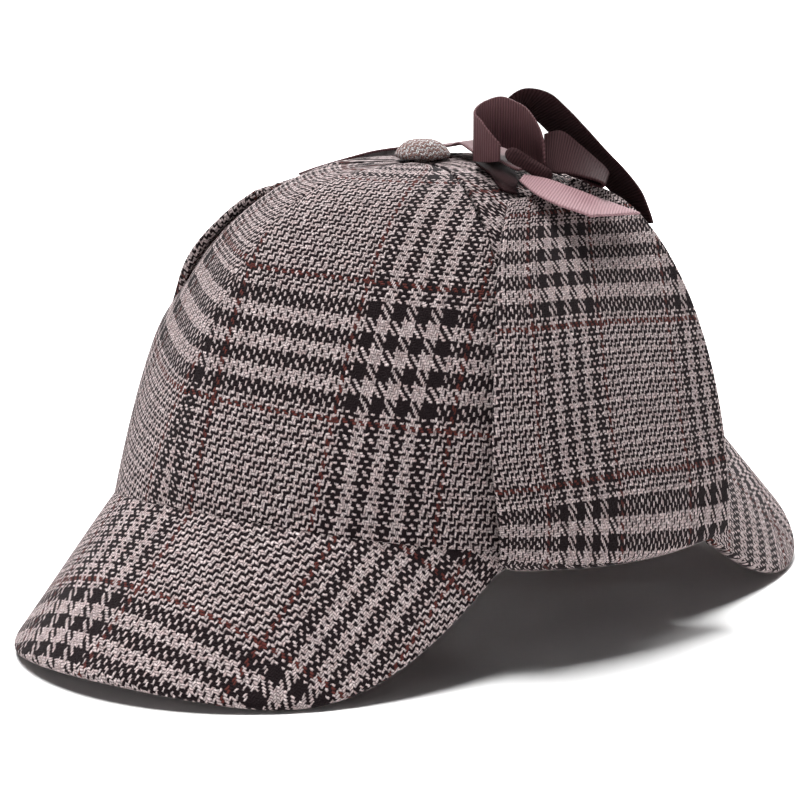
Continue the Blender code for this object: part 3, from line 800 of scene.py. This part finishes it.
def build_button(mat):
    """Cloth-covered button, its cover drawn in small pleats toward the stem."""
    s = sizes()
    profile = through(BUTTON_PROFILE, 3)
    turns = np.linspace(0.0, 2 * np.pi, 97)[:-1]
    verts, uvs = [], []
    run = np.diff(profile * (s.button_radius / MM, 1.0), axis=0)
    run = np.concatenate([[0.0], np.cumsum(np.hypot(*run.T))])
    for k, (out, high) in enumerate(profile):
        pleat = 0.10 * float(swell(out, 0.55, 1.0)) * np.sin(turns * BUTTON_PLEATS + 2.0 * np.sin(turns * 2))
        r = max(out, 0.0005) * s.button_radius
        z = high * MM + (pleat + 0.06 * np.sin(turns * 5 + 1.0)) * MM * min(out * 2, 1.0)
        verts.append(np.stack([r * np.cos(turns), r * np.sin(turns), z], -1))
        uvs.append(np.stack([run[k] * np.cos(turns), run[k] * np.sin(turns)], -1))
    rings = np.array(verts) + np.array((0.0, s.top_set_back, s.crown_top - s.top_dip + 1.2 * MM))
    cloth_at = threads("top_button", *np.moveaxis(np.array(uvs), -1, 0) * MM)
    verts, faces, corner = ring_solid(rings, cloth_at)
    return add_piece("top_button_cloth", verts - MIDDLE, faces, corner, mat, ["top_button"])


# ---- the bow -----------------------------------------------------------------------------
TIP_FROM = 0.75   # a slanted end is cut over the last stretch of its run, from this share on


def build_ribbon(name, table, steps, mat, slant=0.0):
    """A ribbon along a table of centres, with its real thickness."""
    s = sizes()
    rows = through(table, steps)
    centre = rows[:, :3] * MM
    heading, tilt = rows[:, 3] * DEG, rows[:, 4] * DEG
    across = np.stack([np.cos(heading) * np.cos(tilt), np.sin(heading) * np.cos(tilt), np.sin(tilt)], -1)
    k = np.linspace(-1.0, 1.0, 13)
    half = s.ribbon_width / 2 * rows[:, 5]
    along = unit(np.gradient(centre, axis=0))
    share_run = np.linspace(0.0, 1.0, len(rows))
    tip = slant * np.maximum(0.0, share_run - TIP_FROM) / (1.0 - TIP_FROM)
    points = (centre[:, None] + across[:, None] * (half[:, None] * k)[..., None]
              + along[:, None] * (tip[:, None] * k)[..., None])
    normals = grid_normals(points)
    thick = s.ribbon_thick
    points = points + normals * (thick / 2)
    run = np.concatenate([[0.0], np.cumsum(np.linalg.norm(np.diff(centre, axis=0), axis=1))])
    cloth_at = np.stack([np.broadcast_to(k * s.ribbon_width * 500.0, points.shape[:2]),
                         run[:, None] * 1000.0 + tip[:, None] * k * 1000.0], -1)
    verts, faces, corner = sheet_solid(points, normals, cloth_at, full_round(thick, 4), MM)
    item = add_piece(name + "_ribbon", verts - MIDDLE, faces, corner, mat, [name])
    return item


def build_knot(mat):
    """The wrapped middle of the bow: a band drawn tight round the ribbons."""
    heading, tilt = (angle * DEG for angle in KNOT_WAY)
    along = np.array((math.cos(heading) * math.cos(tilt), math.sin(heading) * math.cos(tilt),
                      math.sin(tilt)))
    deep = np.array((-math.sin(heading), math.cos(heading), 0.0))
    thick = np.cross(along, deep)
    half_long, half_deep, half_thick = (size / 2 * MM for size in KNOT_SIZE)
    around = np.linspace(0.0, 2 * np.pi, 65)[:-1]
    rings, cloth_at = [], []
    for t in np.sin(np.linspace(-0.5, 0.5, 29) * np.pi):
        full = max(1.0 - abs(t) ** 5, 0.0) ** 0.5 * (1.0 - 0.10 * math.cos(3.0 * t)) + 0.02
        crease = 1.0 - 0.07 * np.cos(1.5 * around + 2.0 * t) ** 10
        c, n = np.cos(around), np.sin(around)
        c, n = np.sign(c) * np.abs(c) ** 0.75, np.sign(n) * np.abs(n) ** 0.75
        rings.append(along * half_long * t + deep * (half_deep * full * crease * c)[:, None]
                     + thick * (half_thick * full * crease * n)[:, None])
        cloth_at.append(np.stack([around * 3.5, np.full_like(around, t * half_long / MM)], -1))
    verts, faces, corner = ring_solid(np.array(rings), np.array(cloth_at))
    return add_piece("bow_knot_ribbon", verts + np.array(KNOT_CENTRE) * MM - MIDDLE, faces, corner, mat,
                     ["bow_knot"])


# ---- the stage ---------------------------------------------------------------------------
BACKDROP_TOP = (0.06, 0.18)   # the white backdrop fades into the dim room between these rises per length
BACKDROP_LIGHT = 1.1
ROOM_LIGHT = 0.02
KEY_LIGHT = 5.2
KEY_SPREAD = 28.0 * DEG
KEY_FROM = (-0.22, 0.02, 1.0)


# the camera stands ahead of the hat and to its left, where the photograph was taken from
CAMERA_AT = (0.50740, -0.65230, 0.21479)
CAMERA_RIGHT = (0.78615, 0.61804, 0.0)
CAMERA_UP = (-0.09874, 0.12559, 0.98716)
CAMERA_LENS = 120.7            # mm, on a 36 mm sensor
CAMERA_SHIFT = (-0.0211, -0.0798)


def soft_light(name, at, aim, size, watts):
    """A wide soft light pointed at a spot."""
    data = bpy.data.lights.new(name, "AREA")
    data.shape = "RECTANGLE"
    data.size, data.size_y = size
    data.energy = watts
    item = bpy.data.objects.new(name, data)
    bpy.context.scene.collection.objects.link(item)
    item.location = at
    item.rotation_mode = "QUATERNION"
    item.rotation_quaternion = (Vector(aim) - Vector(at)).to_track_quat("-Z", "Y")
    return item


def build_stage():
    """Pale floor, backdrop, lights, and the camera at the photograph's angle."""
    look = colours()
    m = Maker("pale_floor")
    place = m.node("ShaderNodeTexCoord").outputs["Object"]
    grain = m.noise(place, 6.0, 2.0)[0]
    shade = m.blend(grain, rgba(look.floor), rgba([min(c * 1.03, 1.0) for c in look.floor]))
    mat = m.finish(shade, Roughness=0.6, Specular_IOR_Level=0.3)
    mesh = bpy.data.meshes.new("floor")
    mesh.from_pydata([(-6, -6, 0), (6, -6, 0), (6, 9, 0), (-6, 9, 0)], [], [(0, 1, 2, 3)])
    mesh.materials.append(mat)
    floor = bpy.data.objects.new("floor", mesh)
    floor.location.z = -0.0001
    bpy.context.scene.collection.objects.link(floor)

    world = bpy.data.worlds.new("studio")
    bpy.context.scene.world = world
    world.use_nodes = True
    tree = world.node_tree
    height = tree.nodes.new("ShaderNodeSeparateXYZ")
    tree.links.new(tree.nodes.new("ShaderNodeTexCoord").outputs["Generated"], height.inputs[0])
    fade = tree.nodes.new("ShaderNodeMapRange")
    for socket, value in zip(fade.inputs[1:5], (*BACKDROP_TOP, BACKDROP_LIGHT, ROOM_LIGHT)):
        socket.default_value = value
    tree.links.new(height.outputs[2], fade.inputs[0])
    tree.links.new(fade.outputs[0], tree.nodes["Background"].inputs[1])
    tree.nodes["Background"].inputs[0].default_value = (1.0, 0.97, 0.98, 1.0)
    bpy.context.scene.view_settings.view_transform = "Standard"

    sun = bpy.data.lights.new("key_light", "SUN")
    sun.energy, sun.angle = KEY_LIGHT, KEY_SPREAD
    item = bpy.data.objects.new("key_light", sun)
    item.rotation_mode = "QUATERNION"
    item.rotation_quaternion = Vector(KEY_FROM).to_track_quat("Z", "Y")
    bpy.context.scene.collection.objects.link(item)
    soft_light("front_fill", (0.2, -1.9, 0.8), (0, 0, 0.08), (1.4, 1.0), 2.6)
    soft_light("back_light", (-0.7, 1.3, 0.9), (0, 0, 0.12), (1.6, 0.9), 36.0)

    cam = bpy.data.cameras.new("camera")
    cam.sensor_width, cam.lens = 36.0, CAMERA_LENS
    cam.shift_x, cam.shift_y = CAMERA_SHIFT
    cam.clip_start, cam.clip_end = 0.05, 50.0
    item = bpy.data.objects.new("camera", cam)
    bpy.context.scene.collection.objects.link(item)
    right, up = Vector(CAMERA_RIGHT), Vector(CAMERA_UP)
    back_way = right.cross(up)
    turn = Matrix((right, up, back_way)).transposed()
    item.matrix_world = Matrix.Translation(CAMERA_AT) @ turn.to_4x4()
    bpy.context.scene.camera = item


# ---- operators ---------------------------------------------------------------------------
class BuildCrown(bpy.types.Operator):
    """Six cloth panels of the crown"""
    bl_idname = "deerstalker.crown"
    bl_label = "Crown panels"

    def execute(self, context):
        mat = tweed("crown_tweed")
        for number in range(1, len(SEAMS)):
            build_panel(number, mat)
        return {"FINISHED"}


class BuildButton(bpy.types.Operator):
    """Cloth-covered button on top"""
    bl_idname = "deerstalker.button"
    bl_label = "Top button"

    def execute(self, context):
        build_button(tweed("button_tweed", BUTTON_LIFT, dark_yarn=BUTTON_DARK))
        return {"FINISHED"}


class BuildPeaks(bpy.types.Operator):
    """Front and rear peaks"""
    bl_idname = "deerstalker.peaks"
    bl_label = "Peaks"

    def execute(self, context):
        mat = tweed("peak_tweed")
        for name in PEAKS:
            build_peak(name, mat)
        return {"FINISHED"}


class BuildFlaps(bpy.types.Operator):
    """Ear flaps, folded up"""
    bl_idname = "deerstalker.flaps"
    bl_label = "Ear flaps"

    def execute(self, context):
        mat = tweed("flap_tweed", warp_reds=FLAP_RED_PAIRS)
        for name in FLAPS:
            build_flap(name, mat)
        return {"FINISHED"}


class BuildBow(bpy.types.Operator):
    """Ribbon ties, loops, tails and knot"""
    bl_idname = "deerstalker.bow"
    bl_label = "Bow"

    def execute(self, context):
        # one ribbon in three tones: its dark brown, deepened as painted shade, on the pieces in shade, and
        # brighter copies as painted light on the lit pieces
        back = grosgrain("ribbon_dark_in_shade", colours().ribbon, 0.03, 0.35)
        face = grosgrain("ribbon_painted_light", colours().ribbon_painted_light, 0.3, 0.5)
        # painted light: a brighter copy of the ribbon for the lit front loop and right tie
        lighter = [c * HALF_LIT_LIFT for c in colours().ribbon]
        half_lit = grosgrain("ribbon_half_lit", lighter, 0.15, 0.35)
        for name, table in RIBBONS.items():
            mat = face if name in BRIGHT_LIT_RIBBONS else half_lit if name in HALF_LIT_RIBBONS else back
            build_ribbon(name, table, 8, mat, SLANTED.get(name, 0.0))
        build_knot(back)
        return {"FINISHED"}


class BuildStage(bpy.types.Operator):
    """Floor, lights and camera"""
    bl_idname = "deerstalker.stage"
    bl_label = "Stage"

    def execute(self, context):
        build_stage()
        return {"FINISHED"}


STEPS = (BuildStage, BuildCrown, BuildPeaks, BuildFlaps, BuildButton, BuildBow)


class DeerstalkerPanel(bpy.types.Panel):
    """Lists the pieces of the hat"""
    bl_label = "Deerstalker hat"
    bl_idname = "VIEW3D_PT_deerstalker"
    bl_space_type = "VIEW_3D"
    bl_region_type = "UI"
    bl_category = "Deerstalker"

    def draw(self, context):
        for step in STEPS:
            self.layout.operator(step.bl_idname)
        for group in (context.scene.deerstalker_sizes, context.scene.deerstalker_colours):
            for key in group.__annotations__:
                self.layout.prop(group, key)


CLASSES = (HatSizes, HatColours) + STEPS + (DeerstalkerPanel,)


def register():
    """Make the classes known and hang the properties on the scene."""
    for item in CLASSES:
        bpy.utils.register_class(item)
    bpy.types.Scene.deerstalker_sizes = PointerProperty(type=HatSizes)
    bpy.types.Scene.deerstalker_colours = PointerProperty(type=HatColours)


def unregister():
    """Take the properties and the classes away again."""
    del bpy.types.Scene.deerstalker_colours
    del bpy.types.Scene.deerstalker_sizes
    for item in reversed(CLASSES):
        bpy.utils.unregister_class(item)


def main():
    register()
    bpy.ops.deerstalker.stage()
    bpy.ops.deerstalker.crown()
    bpy.ops.deerstalker.peaks()
    bpy.ops.deerstalker.flaps()
    bpy.ops.deerstalker.button()
    bpy.ops.deerstalker.bow()
    bpy.context.view_layer.update()


if __name__ == "__main__":
    main()
